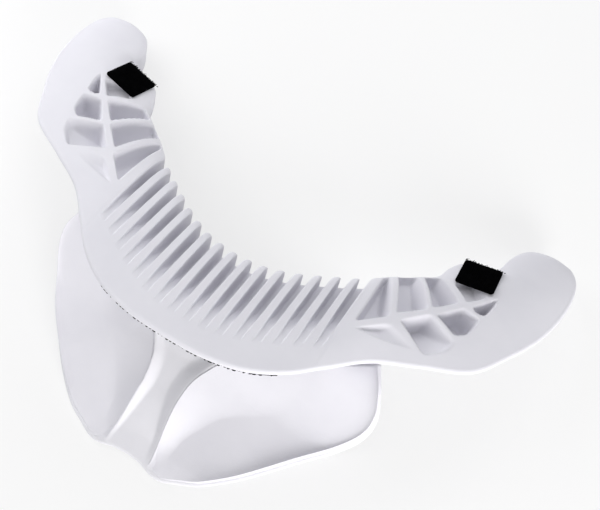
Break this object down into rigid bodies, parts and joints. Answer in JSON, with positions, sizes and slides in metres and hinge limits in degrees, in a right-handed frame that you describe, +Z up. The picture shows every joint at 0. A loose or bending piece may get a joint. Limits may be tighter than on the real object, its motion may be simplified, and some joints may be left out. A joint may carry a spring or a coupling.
{
  "type": "neck brace front padding",
  "caption": "Foam front padding of a neck brace: a U shaped collar pad with cooling fins and open cells, held by hook and loop tape on a chest bib with raised lobes.",
  "frame": {"origin": "on the table under the centre of the bounding box", "axes": "+X across the part from its left to its right arm, +Y from the chest bib to the tips of the arms, +Z up from the table"},
  "size_m": [0.3054, 0.2038, 0.0796],
  "materials": {
    "pad_foam": "moulded closed cell foam, matt, near white with a faint lavender cast",
    "liner_foam": "thin skinned foam sheet, matt near white",
    "hook_tape": "black woven tape with moulded hooks",
    "loop_tape": "black brushed loop pile"
  },
  "bodies": {
    "chest_bib": {"chest_backing_sheet": "liner_foam", "left_chest_lobe": "pad_foam", "right_chest_lobe": "pad_foam", "chest_loop_strip": "loop_tape"},
    "collar": {"collar_pad": "pad_foam", "collar_liner": "liner_foam", "left_tip_hook_tab": "hook_tape", "right_tip_hook_tab": "hook_tape", "front_hook_strip": "hook_tape"}
  },
  "joints": [
    {"name": "collar_pull_off", "type": "slide", "parent": "chest_bib", "child": "collar", "axis": [0, 0.4067, 0.9135], "range_m": [0, 0.03]}
  ]
}
